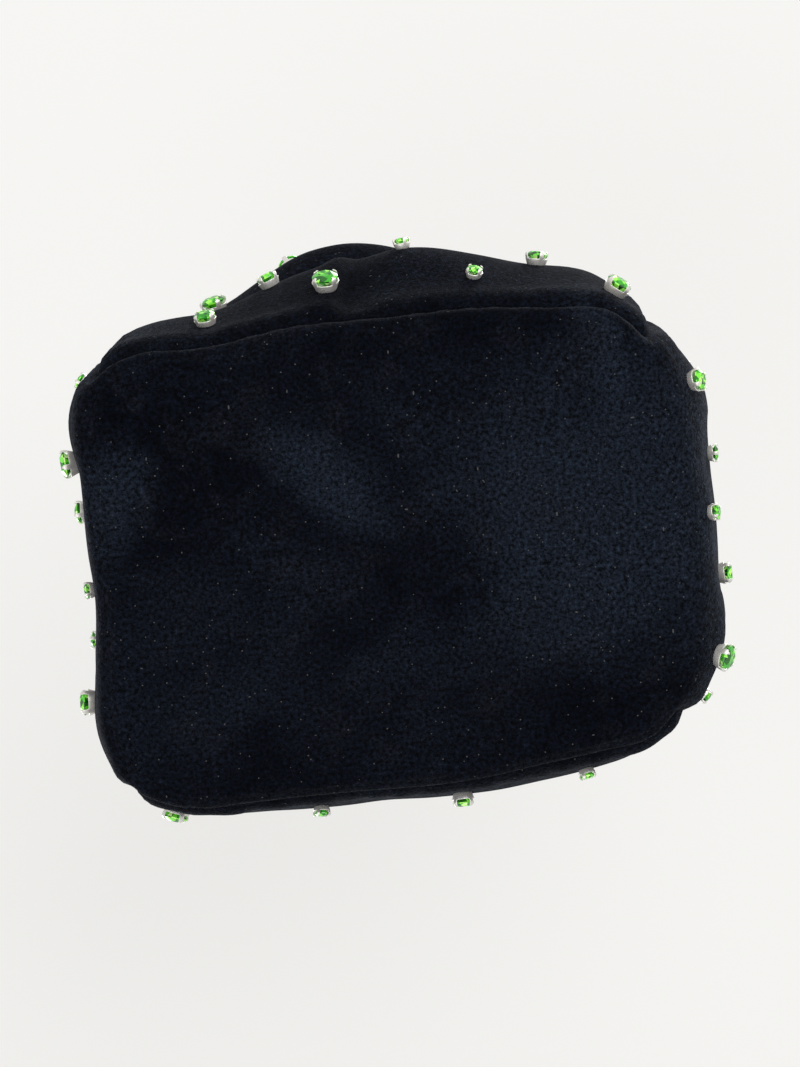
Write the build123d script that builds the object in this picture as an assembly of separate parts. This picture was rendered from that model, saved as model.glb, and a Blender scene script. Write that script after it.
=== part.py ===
from build123d import *
import os

# Soft velvet evening bag on a hinged kiss-lock frame, set with round crystals.
# Millimetres. The bag stands on its base: +Z is up, the front wall faces -Y,
# and the origin is the centre of the underside of the base.

# ---- Soft body: outline of the outer skin at a few heights ----
# height, length along X, depth along Y, corner radius
BODY_SECTIONS = (
    (0.0, 164.0, 114.0, 26.0),
    (8.0, 178.0, 127.0, 32.0),
    (30.0, 183.0, 143.0, 42.0),
    (58.0, 184.0, 150.0, 50.0),
    (84.0, 176.0, 122.0, 46.0),
    (104.0, 160.0, 58.0, 26.0),
    (117.0, 144.0, 10.4, 5.0),
)
BODY_TOP = BODY_SECTIONS[-1][0]

# ---- Layers of the wall, from the outside in ----
VELVET = 1.2
INTERLINING = 1.0
LINING = 0.5
LAYER_GAP = 0.1
INTERLINING_INSET = VELVET + LAYER_GAP
LINING_INSET = INTERLINING_INSET + INTERLINING + LAYER_GAP

# ---- Base board ----
BOARD_LENGTH = 150.0
BOARD_DEPTH = 100.0
BOARD_CORNER = 20.0
BOARD_THICKNESS = 1.5
BOARD_BOTTOM = LINING_INSET
LINING_FLOOR = BOARD_BOTTOM + BOARD_THICKNESS + LAYER_GAP

# ---- Seams: half-width of the strip that makes the base and both ends ----
BELOW_BASE = -1.0
# half-width along Y, height
STRIP_EDGE = (
    (62.5, BELOW_BASE),
    (62.5, 8.0),
    (58.0, 30.0),
    (50.0, 62.0),
    (30.0, 92.0),
    (7.0, 107.0),
)

# ---- Where the front wall bends when the frame opens ----
FOLD_BOTTOM = 106.0
FOLD_TOP = BODY_TOP
FOLD_GAP = 0.3

# ---- Frame: two arched halves of channel, side by side ----
FRAME_WIDTH = 150.0
FRAME_TOP = 150.0
FRAME_CORNER = 18.0
FRAME_FACE_GAP = 0.6
HALF_DEPTH = 6.0
BAR_HEIGHT = 7.0
METAL = 0.8
LEG_BOTTOM = 121.0
LEG_CAP = 1.5
NEAR_FACE = FRAME_FACE_GAP / 2
FAR_FACE = NEAR_FACE + HALF_DEPTH

# ---- Hinge at the foot of each leg ----
HINGE_Z = 116.0
EAR_RADIUS = 4.0
EAR_THICKNESS = 1.8
EAR_GAP = 0.3
FRONT_EAR_X = 68.4
REAR_EAR_X = FRONT_EAR_X + EAR_THICKNESS + EAR_GAP
PIN_RADIUS = 1.25
PIN_CLEARANCE = 0.05
PIN_HEAD_RADIUS = 2.2
PIN_HEAD = 0.8
PIN_HEAD_GAP = 0.2
HINGE_CLEAR_X = 66.0
HINGE_CLEAR_Y = 9.0
HINGE_CLEAR_BOTTOM = 108.0

# ---- Fabric edges and paper cords packed in the channel ----
EDGE_INSET = 2.0
VELVET_EDGE_Y = BODY_SECTIONS[-1][2] / 2
LINING_EDGE_Y = VELVET_EDGE_Y - LINING_INSET
CORD_RADIUS = 0.5
CORD_Y = (VELVET_EDGE_Y - VELVET + LINING_EDGE_Y) / 2
CORD_INSET = METAL + CORD_RADIUS + LAYER_GAP

# ---- Kiss-lock clasp ----
BALL_RADIUS = 3.5
BALL_X = 3.7
BALL_LEAN = 0.8
BALL_Z = FRAME_TOP + 6.8
STEM_RADIUS = 1.3
FOOT_RADIUS = 1.9
FOOT_HEIGHT = 1.0
# half-size of the block in which a stem stands
CLASP_REACH = 9.0

# ---- Crystals: radius of each size ----
CRYSTAL_RADIUS = {"large": 3.7, "medium": 3.05, "small": 2.2}
NEXT_SIZE = {"large": "small", "small": "medium", "medium": "large"}
CRYSTAL_SIDES = 12
TABLE_RATIO = 0.58
CULET_RATIO = 0.12
PAVILION_RATIO = 0.78
CROWN_RATIO = 0.33
GIRDLE = 0.3
CLAW_METAL = 0.35
CLAW_CLEARANCE = 0.06
CLAW_TIP_RATIO = 0.80
CUP_FOOT_RATIO = 0.60
CUP_WALL_RATIO = 0.42
CLAW_WIDTH_RATIO = 0.50
SETTING_LIFT = 0.25

# ---- Crystals: rows sewn on each wall, lowest first ----
ROW_HEIGHTS = {
    "front": (22.0, 40.0, 58.0, 76.0, 92.0),
    "back": (22.0, 42.0, 60.0, 77.0, 92.0),
    "left": (21.0, 38.0, 57.0, 75.0, 91.0),
    "right": (13.0, 31.0, 51.0, 71.0, 90.0),
}
NARROWING_START = 58.0
WALL_DIRECTION = {
    "front": (0, -1, 0),
    "back": (0, 1, 0),
    "left": (-1, 0, 0),
    "right": (1, 0, 0),
}
# place along the wall and size of each crystal in the two lowest rows
LOWEST_ROWS = {
    "front": (
        ((-51, "medium"), (-16, "large"), (26, "small"), (64, "large")),
        ((-33, "medium"), (6, "small"), (44, "medium")),
    ),
    "back": (
        ((-72, "large"), (-32, "small"), (9, "medium"), (45, "small")),
        ((-52, "medium"), (-12, "large"), (27, "small"), (62, "medium")),
    ),
    "left": (
        ((-30, "large"), (7, "small"), (39, "large")),
        ((-50, "small"), (-14, "medium"), (24, "small")),
    ),
    "right": (
        ((-37, "medium"), (0, "small"), (40, "large")),
        ((-15, "small"), (20, "medium"), (53, "small")),
    ),
}


def save(shape, node):
    export_step(shape, f"parts/{node}.step")


def box_between(low, high):
    """Box with the given lowest and highest corners."""
    size = [top - bottom for bottom, top in zip(low, high)]
    centre = [(top + bottom) / 2 for bottom, top in zip(low, high)]
    return Pos(*centre) * Box(*size)


# ---------------------------------------------------------------- soft body

def body_solid(inset, floor):
    """The body's outline drawn in by inset, cut flat at floor."""
    outlines = []
    for height, length, depth, radius in BODY_SECTIONS:
        outline = RectangleRounded(length - 2 * inset, depth - 2 * inset, radius - inset)
        outlines.append(Pos(0, 0, max(height, inset)) * outline)
    reach = FRAME_WIDTH
    above_floor = box_between((-reach, -reach, floor), (reach, reach, FRAME_TOP))
    return loft(outlines) & above_floor


def body_layer(inset, thickness, floor):
    """One layer of the wall and floor, open at the top."""
    inside = body_solid(inset + thickness, floor + thickness)
    return body_solid(inset, floor) - inside - hinge_space(1) - hinge_space(-1)


def hinge_space(end):
    """Room left in the fabric for the hinge at one end."""
    near = end * HINGE_CLEAR_X
    far = end * FRAME_WIDTH
    low = (min(near, far), -HINGE_CLEAR_Y, HINGE_CLEAR_BOTTOM)
    high = (max(near, far), HINGE_CLEAR_Y, LEG_BOTTOM + LEG_CAP)
    return box_between(low, high)


def strip_prism():
    """Everything between the two seams of the base-and-ends strip."""
    right = [(half_width, height) for half_width, height in STRIP_EDGE]
    left = [(-half_width, height) for half_width, height in reversed(STRIP_EDGE)]
    outline = make_face(Polyline(right + left, close=True))
    return extrude(Plane.YZ * outline, amount=FRAME_WIDTH, both=True)


def wall_side(side, bottom, top):
    """Half-space box on one side of the bag, between two heights."""
    reach = FRAME_WIDTH
    low = (-reach, min(0, side * reach), bottom)
    high = (reach, max(0, side * reach), top)
    return box_between(low, high)


def arch(inset, bottom, low_y, high_y):
    """Solid of the frame's arched outline, drawn in by inset, between two depths."""
    width = FRAME_WIDTH - 2 * inset
    height = FRAME_TOP - inset - bottom
    outline = Rectangle(width, height, align=(Align.CENTER, Align.MIN))
    top_corners = outline.vertices().group_by(Axis.Y)[-1]
    outline = Pos(0, bottom) * fillet(top_corners, FRAME_CORNER - inset)
    return extrude(Plane.XZ.offset(-high_y) * outline, amount=high_y - low_y)


def mouth_sheet(side, outer_y, thickness):
    """The flat edge of a wall layer that hangs in one half of the frame."""
    low_y, high_y = sorted((side * outer_y, side * (outer_y - thickness)))
    sheet = arch(EDGE_INSET, BODY_TOP, low_y, high_y)
    return sheet - hinge_space(1) - hinge_space(-1)


def write_layer(name, inset, thickness, floor, edge_y):
    """A wall layer cut along its seams into its panels."""
    layer = body_layer(inset, thickness, floor)
    strip = strip_prism()
    save(layer & strip, f"base_and_ends_{name}")
    walls = layer - strip
    back_wall = walls & wall_side(1, BELOW_BASE, BODY_TOP)
    save(back_wall + mouth_sheet(1, edge_y, thickness), f"back_{name}")
    save(walls & wall_side(-1, BELOW_BASE, FOLD_BOTTOM), f"front_{name}")
    fold = wall_side(-1, FOLD_BOTTOM + FOLD_GAP, FOLD_TOP - FOLD_GAP)
    save(walls & fold, f"front_{name}_fold")
    save(mouth_sheet(-1, edge_y, thickness), f"front_mouth_{name}")


def write_interlining():
    """The padded layer between velvet and lining, which stops below the fold."""
    layer = body_layer(INTERLINING_INSET, INTERLINING, INTERLINING_INSET)
    strip = strip_prism()
    walls = layer - strip
    save(layer & strip, "base_and_ends_interlining")
    save(walls & wall_side(1, BELOW_BASE, FOLD_BOTTOM), "back_interlining")
    save(walls & wall_side(-1, BELOW_BASE, FOLD_BOTTOM), "front_interlining")


def write_base_board():
    outline = RectangleRounded(BOARD_LENGTH, BOARD_DEPTH, BOARD_CORNER)
    board = extrude(outline, amount=BOARD_THICKNESS)
    save(Pos(0, 0, BOARD_BOTTOM) * board, "base_board")


# ---------------------------------------------------------------- frame

def along_x(radius, start, end):
    """Round bar on the hinge axis from start to end."""
    bar = Cylinder(radius, abs(end - start))
    return Pos((start + end) / 2, 0, HINGE_Z) * Rot(0, 90, 0) * bar


def hinge_ear(side, end, inner_x, hole_radius):
    """Flattened foot of one leg, which the pin goes through."""
    start = end * inner_x
    stop = end * (inner_x + EAR_THICKNESS)
    low_y, high_y = sorted((side * NEAR_FACE, side * FAR_FACE))
    neck = box_between(
        (min(start, stop), low_y, HINGE_Z),
        (max(start, stop), high_y, LEG_BOTTOM + METAL),
    )
    return neck + along_x(EAR_RADIUS, start, stop) - along_x(hole_radius, start, stop)


def frame_half(side, ear_x, hole_radius):
    """One arched half: a channel open towards the bag, with an ear under each leg."""
    low_y, high_y = sorted((side * NEAR_FACE, side * FAR_FACE))
    outline = arch(0, LEG_BOTTOM, low_y, high_y)
    inside = arch(BAR_HEIGHT, LEG_BOTTOM, low_y, high_y)
    groove = arch(METAL, LEG_BOTTOM + LEG_CAP, low_y + METAL, high_y - METAL)
    frame = outline - inside - groove
    for end in (-1, 1):
        frame = frame + hinge_ear(side, end, ear_x, hole_radius)
    return frame


def hinge_pin(end):
    """Rivet along the hinge axis, fast in the rear ear."""
    inner = end * (FRONT_EAR_X - PIN_HEAD_GAP)
    outer = end * (REAR_EAR_X + EAR_THICKNESS)
    shaft = along_x(PIN_RADIUS, inner, outer)
    inner_head = along_x(PIN_HEAD_RADIUS, inner - end * PIN_HEAD, inner)
    outer_head = along_x(PIN_HEAD_RADIUS, outer, outer + end * PIN_HEAD)
    return shaft + inner_head + outer_head


def clasp_ball(side):
    """Ball on a leaning stem; the two balls pass side by side."""
    x = side * BALL_X
    foot_centre = Vector(x, side * (NEAR_FACE + FAR_FACE) / 2, FRAME_TOP)
    ball_centre = Vector(x, -side * BALL_LEAN, BALL_Z)
    foot = Pos(foot_centre) * Cylinder(
        FOOT_RADIUS, FOOT_HEIGHT, align=(Align.CENTER, Align.CENTER, Align.MIN)
    )
    stem_start = foot_centre + Vector(0, 0, FOOT_HEIGHT / 2)
    lean = ball_centre - stem_start
    stem_plane = Plane(origin=stem_start, z_dir=lean)
    stem = extrude(stem_plane * Circle(STEM_RADIUS), amount=lean.length)
    above_foot = box_between(
        (x - CLASP_REACH, -CLASP_REACH, FRAME_TOP + FOOT_HEIGHT / 2),
        (x + CLASP_REACH, CLASP_REACH, BALL_Z),
    )
    return foot + (stem & above_foot) + Pos(ball_centre) * Sphere(BALL_RADIUS)


def channel_cord(side):
    """Paper cord that wedges the fabric in one half's channel."""
    reach = FRAME_WIDTH / 2 - CORD_INSET
    start_z = LEG_BOTTOM + LEG_CAP + LAYER_GAP
    top_z = FRAME_TOP - CORD_INSET
    corners = [(-reach, start_z), (-reach, top_z), (reach, top_z), (reach, start_z)]
    path = Plane.XZ.offset(-side * CORD_Y) * FilletPolyline(corners, radius=FRAME_CORNER - CORD_INSET)
    section = Plane(path @ 0, z_dir=path % 0) * Circle(CORD_RADIUS)
    return sweep(section, path)


# ---------------------------------------------------------------- crystals

def crystal(radius):
    """Round faceted crystal standing on its point, at its place in the setting."""
    girdle_z = girdle_height(radius)
    levels = (
        (girdle_z - GIRDLE / 2 - PAVILION_RATIO * radius, CULET_RATIO * radius),
        (girdle_z - GIRDLE / 2, radius),
        (girdle_z + GIRDLE / 2, radius),
        (girdle_z + GIRDLE / 2 + CROWN_RATIO * radius, TABLE_RATIO * radius),
    )
    outlines = [Pos(0, 0, z) * RegularPolygon(r, CRYSTAL_SIDES) for z, r in levels]
    return loft(outlines, ruled=True)


def girdle_height(radius):
    """Height of the widest part of a crystal above the foot of its setting."""
    return CLAW_METAL + CLAW_CLEARANCE + PAVILION_RATIO * radius + GIRDLE / 2


def claw_setting(radius):
    """Cup with four claws bent over the crystal's edge."""
    girdle_z = girdle_height(radius)
    wall_r = radius + CLAW_CLEARANCE
    shoulder_z = girdle_z + GIRDLE / 2 + CLAW_CLEARANCE
    tip_r = CLAW_TIP_RATIO * radius
    crown_slope = CROWN_RATIO / (1 - TABLE_RATIO)
    tip_z = shoulder_z + crown_slope * (radius - tip_r)
    foot_r = CUP_FOOT_RATIO * radius
    profile = Polyline(
        (0, 0),
        (foot_r + CLAW_METAL, 0),
        (wall_r + CLAW_METAL, girdle_z),
        (wall_r + CLAW_METAL, shoulder_z + CLAW_METAL / 2),
        (tip_r, tip_z + CLAW_METAL),
        (tip_r, tip_z),
        (wall_r, shoulder_z),
        (wall_r, girdle_z),
        (foot_r, CLAW_METAL),
        (0, CLAW_METAL),
        close=True,
    )
    bowl = revolve(Plane.XZ * make_face(profile), Axis.Z)
    reach = 4 * radius
    claw_width = CLAW_WIDTH_RATIO * radius
    cross = Box(reach, claw_width, reach) + Box(claw_width, reach, reach)
    cup_height = CUP_WALL_RATIO * girdle_z
    cup = Cylinder(reach, cup_height, align=(Align.CENTER, Align.CENTER, Align.MIN))
    return bowl & (cross + cup)


def depth_share(height):
    """How much of its full depth the body has at a height where it narrows, from 0 to 1."""
    if height <= NARROWING_START:
        return 1.0
    full = max(depth for _, _, depth, _ in BODY_SECTIONS)
    for lower, upper in zip(BODY_SECTIONS, BODY_SECTIONS[1:]):
        if lower[0] <= height <= upper[0]:
            part = (height - lower[0]) / (upper[0] - lower[0])
            return (lower[2] + part * (upper[2] - lower[2])) / full
    return 0.0


def wall_layout(wall):
    """Height, place along the wall and size of every crystal on one wall."""
    layout = []
    rows = list(LOWEST_ROWS[wall])
    while len(rows) < len(ROW_HEIGHTS[wall]):
        rows.append(tuple((place, NEXT_SIZE[size]) for place, size in rows[-2]))
    for height, row in zip(ROW_HEIGHTS[wall], rows):
        for place, size in row:
            layout.append((height, place * depth_share(height), size))
    return layout


def on_wall(body, wall, height, place):
    """Frame on the outer skin, looking straight out of it."""
    direction = Vector(*WALL_DIRECTION[wall])
    start = Vector(place * abs(direction.Y), place * abs(direction.X), height)
    hits = body.find_intersection_points(Axis(start, direction))
    point, normal = max(hits, key=lambda hit: (hit[0] - start).dot(direction))
    if normal.dot(direction) < 0:
        normal = -normal
    return Plane(origin=point + normal.normalized() * SETTING_LIFT, z_dir=normal)


def write_crystals():
    """Crystals and settings of each wall, grouped by size."""
    body = body_solid(0, 0)
    crystals = {size: crystal(radius) for size, radius in CRYSTAL_RADIUS.items()}
    settings = {size: claw_setting(radius) for size, radius in CRYSTAL_RADIUS.items()}
    for wall in WALL_DIRECTION:
        layout = wall_layout(wall)
        for size in CRYSTAL_RADIUS:
            places = [on_wall(body, wall, z, place) for z, place, kind in layout if kind == size]
            stones = Compound([place.location * crystals[size] for place in places])
            cups = Compound([place.location * settings[size] for place in places])
            save(stones, f"{wall}_{size}_crystals")
            save(cups, f"{wall}_{size}_settings")


# ---------------------------------------------------------------- write all

os.makedirs("parts", exist_ok=True)

write_layer("velvet", 0, VELVET, 0, VELVET_EDGE_Y)
write_layer("lining", LINING_INSET, LINING, LINING_FLOOR, LINING_EDGE_Y)
write_interlining()
write_base_board()

save(frame_half(-1, FRONT_EAR_X, PIN_RADIUS + PIN_CLEARANCE), "front_frame")
save(frame_half(1, REAR_EAR_X, PIN_RADIUS), "rear_frame")
save(hinge_pin(-1), "left_hinge_pin")
save(hinge_pin(1), "right_hinge_pin")
save(clasp_ball(-1), "front_clasp_ball")
save(clasp_ball(1), "rear_clasp_ball")
save(channel_cord(-1), "front_channel_cord")
save(channel_cord(1), "rear_channel_cord")

write_crystals()
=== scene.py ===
import math
import random

import bmesh
import bpy
import numpy as np
from mathutils import Matrix, Vector, noise
from mathutils.bvhtree import BVHTree
from mathutils.kdtree import KDTree


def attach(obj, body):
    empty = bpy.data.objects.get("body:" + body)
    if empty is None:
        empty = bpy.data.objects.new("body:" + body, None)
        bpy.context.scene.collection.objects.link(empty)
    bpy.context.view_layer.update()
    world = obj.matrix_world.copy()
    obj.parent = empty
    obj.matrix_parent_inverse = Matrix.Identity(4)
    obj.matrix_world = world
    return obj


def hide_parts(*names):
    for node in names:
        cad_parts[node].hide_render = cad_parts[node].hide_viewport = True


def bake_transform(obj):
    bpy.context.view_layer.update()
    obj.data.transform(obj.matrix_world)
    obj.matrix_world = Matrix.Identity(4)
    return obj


# A soft black velvet evening bag on a hinged kiss-lock frame. Metres, +Z up, the front wall faces -Y.
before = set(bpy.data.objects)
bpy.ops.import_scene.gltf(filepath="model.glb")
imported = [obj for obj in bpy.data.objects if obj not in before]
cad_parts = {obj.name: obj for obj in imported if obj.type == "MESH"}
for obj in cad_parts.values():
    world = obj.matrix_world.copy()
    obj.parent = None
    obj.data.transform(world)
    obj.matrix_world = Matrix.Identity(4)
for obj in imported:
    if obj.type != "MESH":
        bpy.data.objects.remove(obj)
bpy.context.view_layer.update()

MM = 0.001
SEED = 11

# ---- body outline at a few heights: height, length, depth, corner radius (mm) ----
BODY_SECTIONS = (
    (0.0, 164.0, 114.0, 26.0),
    (3.0, 174.0, 123.0, 30.0),
    (8.0, 178.0, 128.0, 33.0),
    (30.0, 183.0, 142.0, 42.0),
    (58.0, 184.0, 149.0, 50.0),
    (84.0, 176.0, 124.0, 46.0),
    (104.0, 160.0, 58.0, 26.0),
    (117.0, 144.0, 10.4, 5.0),
)
MOUTH_BOTTOM = 117.0
MOUTH_TOP = 148.0
MOUTH_LENGTH = 144.0
MOUTH_DEPTH = 10.4
FRAME_CORNER = 16.0

# ---- layers: how far in from the outer skin each begins, and its thickness (m) ----
VELVET_LAYER = (0.0, 1.1 * MM)
INTERLINING_LAYER = (1.3 * MM, 0.9 * MM)
LINING_LAYER = (2.4 * MM, 0.5 * MM)
BOARD_ROOM = 1.7 * MM

# ---- grid over the skin: rows up the bag, columns round it ----
LONG_COLUMNS = 28
END_COLUMNS = 20
CORNER_COLUMNS = 10
BASE_ROWS = 14
WALL_STEP = 4.5
MOUTH_ROWS = 6
FINER = 3

# ---- where parts of the wall begin and end: a smooth step between two values (mm) ----
LOW_ENDS = (40, 62)
SOFT_ENDS = (84, 104)
WALL_BEGINS = (18, 56)
END_BEGINS = (55, 84)
CORNER_BEGINS_X = (56, 80)
CORNER_BEGINS_Y = (34, 56)
LEFT_CORNER_X = (48, 76)
LEFT_CORNER_Y = (26, 50)
ROW_ABOVE = (36, 56)

# ---- swellings and hollows of the wall: how far out (mm), and where, as a hill's centre and width (mm) ----
BOW_MIDDLE, BOW_MIDDLE_X = -2.0, (12, 36)
BOW_LEFT, BOW_LEFT_X = 3.5, (20, 84)
BOW_RIGHT, BOW_RIGHT_X = 2.0, (45, 86)
BELLY, BELLY_Z, BELLY_X = -7.0, (36, 15), (2, 42)
CREASE, CREASE_Z, CREASE_X = 4.0, (54, 6), (-14, 32)
UPPER, UPPER_Z, UPPER_X = -13.0, (74, 13), (-12, 32)
SLACK_RIGHT, SLACK_RIGHT_X = 4.5, (48, 26)
SLACK_LEFT, SLACK_LEFT_X = 6.5, (-52, 18)
SLACK_Z = (56, 26)
BACK_FULL, BACK_DRAWN_IN, BACK_TURN_Z = 8.0, 8.0, (26, 50)
BACK_FULL_RIGHT, BACK_FULL_RIGHT_X = 6.5, (0, 70)
RIGHT_ROLL, RIGHT_ROLL_HEIGHT, RIGHT_IN, RIGHT_ABOVE_IN = -8.0, 18, 1.0, 8.0
LEFT_OUT, LEFT_OUT_Z, LEFT_OUT_Y = -1.5, (34, 20), (-28, 22)
LEFT_BACK_OUT, LEFT_BACK_Y, LEFT_ABOVE_IN = 3.0, (0, 40), 5.0
# the left corners: outward along X, then along Y
FRONT_CORNER_OUT, BACK_CORNER_OUT = (3.5, 4.5), (2.0, 1.5)
CORNER_DRAWN = 1.0
CORNER_DRAWN_FROM, CORNER_DRAWN_TO = (5, 24), (72, 98)

# ---- gathers under the frame (mm) ----
GATHER_FROM, GATHER_TO, GATHER_ENDS_X = (84, 106), (108, 119), (52, 66)
GATHER_SPACING = 5.2
GATHER_DRIFT = 21
GATHER_HEIGHT = 1.3

# ---- seams ----
SEAM_HEIGHT = 6.0
ENDS_STOP = 109
SEAM_DEPTH = 1.5 * MM
SEAM_WIDTH = 2.2 * MM
SEAM_REACH = 14 * MM
SEAM_TOP = 112 * MM
ROLL_FROM_SEAM = 6.0 * MM
ROLL_WIDTH = 3.4 * MM
ROLL_HEIGHT = 0.75 * MM
PUCKER_DEPTH = 0.35 * MM
PUCKER_WIDTH = 4.5 * MM
PUCKERS_FADE = (84 * MM, 100 * MM)

# ---- the pleat beside the front base seam, and a dimple at the back one ----
PLEAT_X, PLEAT_Z, PLEAT_LEAN = 10 * MM, 20 * MM, 0.12
PLEAT_STEEP_SIDE, PLEAT_EASY_SIDE = 2.6 * MM, 8.5 * MM
PLEAT_DEPTH, PLEAT_LIP = 2.0 * MM, 1.2 * MM
LIP_PLACE = (-6 * MM, 4 * MM)
PLEAT_FROM, PLEAT_TO = (6 * MM, 12 * MM), (34 * MM, 52 * MM)
PLEAT_WALL = (30 * MM, 60 * MM)
DIMPLE_DEPTH, DIMPLE_TOP = 2.0 * MM, 14 * MM
DIMPLE_X, DIMPLE_Y = (13 * MM, 7 * MM), (61 * MM, 5 * MM)

# ---- unevenness of the cloth: waves per metre, and height (mm) ----
WIDE_WAVES, FINE_WAVES = 26.0, 75.0
WALL_UNEVEN, BASE_UNEVEN, FINE_UNEVEN = 1.5, 0.7, 0.35
UNEVEN_FADE = (84 * MM, 102 * MM)

# ---- cloth run: how far it may move a point, how much it is evened out, and where it counts ----
CLOTH_FRAMES = 20
CLOTH_CAP = 7.0 * MM
CLOTH_SPARE_LENGTH = 0.035
CLOTH_PRESSURE = 1.6
CLOTH_HELD_ABOVE = 103 * MM
CLOTH_HELD_BASE = (70 * MM, 46 * MM)
FOLD_EASING = 4
SAG_EASING = 60
FOLD_SHARE = 0.5
CLOTH_BEGINS = (4.0 * MM, 20.0 * MM)
CLOTH_ENDS = (82.0 * MM, 98.0 * MM)


# ------------------------------------------------------------------ small helpers

def smooth(value, low, high):
    """0 below low, 1 above high, smooth between. Works on arrays."""
    t = np.clip((np.asarray(value, float) - low) / (high - low), 0, 1)
    return t * t * (3 - 2 * t)


def bump(value, centre, width):
    """A smooth hill of height 1 round centre."""
    return np.exp(-(((np.asarray(value, float) - centre) / width) ** 2))


def new_object(name, mesh):
    """An object in the scene holding the mesh, or a light."""
    thing = bpy.data.objects.new(name, mesh)
    bpy.context.scene.collection.objects.link(thing)
    return thing


def mesh_object(name, points, faces, merge=True):
    """A smooth-shaded object from points and faces; merge joins points at the same place."""
    mesh = bpy.data.meshes.new(name)
    mesh.from_pydata([tuple(p) for p in points], [], faces)
    shape = bmesh.new()
    shape.from_mesh(mesh)
    if merge:
        bmesh.ops.remove_doubles(shape, verts=shape.verts, dist=1e-6)
    bmesh.ops.recalc_face_normals(shape, faces=shape.faces)
    shape.to_mesh(mesh)
    shape.free()
    mesh.polygons.foreach_set("use_smooth", [True] * len(mesh.polygons))
    return new_object(name, mesh)


# ------------------------------------------------------------------ material building

class Nodes:
    """A material and short calls to add nodes to it."""

    def __init__(self, name):
        self.material = bpy.data.materials.new(name)
        self.material.use_nodes = True
        self.tree = self.material.node_tree
        self.shader = self.tree.nodes["Principled BSDF"]

    def add(self, kind, inputs=None, **settings):
        node = self.tree.nodes.new(kind)
        for key, value in settings.items():
            setattr(node, key, value)
        for key, value in (inputs or {}).items():
            if isinstance(value, bpy.types.NodeSocket):
                self.tree.links.new(value, node.inputs[key])
            else:
                node.inputs[key].default_value = value
        return node

    def set(self, **values):
        for key, value in values.items():
            socket = self.shader.inputs[key.replace("_", " ")]
            if isinstance(value, bpy.types.NodeSocket):
                self.tree.links.new(value, socket)
            else:
                socket.default_value = value

    def place(self):
        return self.add("ShaderNodeTexCoord").outputs["Object"]

    def noise(self, scale, detail=3.0, roughness=0.5, where=None, distortion=0.0):
        inputs = {"Vector": where or self.place(), "Scale": scale, "Detail": detail,
                  "Roughness": roughness, "Distortion": distortion}
        return self.add("ShaderNodeTexNoise", inputs).outputs["Fac"]

    def ramp(self, fac, stops):
        node = self.add("ShaderNodeValToRGB", {"Fac": fac})
        elements = node.color_ramp.elements
        while len(elements) < len(stops):
            elements.new(0.5)
        for element, (position, color) in zip(elements, stops):
            element.position = position
            element.color = (*color, 1) if len(color) == 3 else color
        return node.outputs["Color"]

    def mix(self, fac, first, second, blend="MIX"):
        node = self.add("ShaderNodeMix", data_type="RGBA", blend_type=blend)
        for index, value in ((0, fac), (6, first), (7, second)):
            if isinstance(value, bpy.types.NodeSocket):
                self.tree.links.new(value, node.inputs[index])
            else:
                node.inputs[index].default_value = value
        return node.outputs[2]

    def math(self, operation, first, second=0.0):
        node = self.add("ShaderNodeMath", operation=operation)
        for index, value in enumerate((first, second)):
            if isinstance(value, bpy.types.NodeSocket):
                self.tree.links.new(value, node.inputs[index])
            else:
                node.inputs[index].default_value = value
        return node.outputs[0]

    def bump(self, height, strength, distance, normal=None):
        inputs = {"Height": height, "Strength": strength, "Distance": distance}
        if normal is not None:
            inputs["Normal"] = normal
        return self.add("ShaderNodeBump", inputs).outputs["Normal"]


# painted light: lighter patches on the base, standing in for the sheen where the pile catches the light:
# centre and half-size (mm), turn (degrees), how much lighter
PAINTED_LIGHT_PATCHES = (
    ((52, -4), (46, 54), 12, 0.95),
    ((-20, -18), (30, 12), 38, 0.80),
    ((-80, -18), (12, 22), 0, 0.70),
    ((62, -50), (7, 22), -8, 0.60),
    ((-10, 34), (60, 14), -6, 0.22),
)
PATCH_REACH = 46.0

# lint: cells per metre, size in a cell, share of cells left empty, squeeze along each axis
LINT = (
    (240.0, 0.06, 0.90, (1, 1, 1)),
    (360.0, 0.085, 0.92, (1.0, 0.4, 1.0)),
    (360.0, 0.085, 0.93, (0.45, 1.0, 1.0)),
    (700.0, 0.15, 0.88, (1, 1, 1)),
)
LINT_COLOR = (0.085, 0.085, 0.082, 1)
LINT_STRENGTH = 0.62

# painted light: the pile is painted lighter on the right end, where the light falls: from and to along X
# (m), and how much
RIGHT_PAINTED_LIGHT_X, RIGHT_PAINTED_LIGHT = (0.072, 0.092), 0.50
# and its sheen is weaker on the front wall: from and to along Y (m), and the sheen on either side
SHEEN_Y, SHEEN_FRONT, SHEEN_ELSEWHERE = (-0.068, -0.056), 0.026, 0.055


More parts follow.
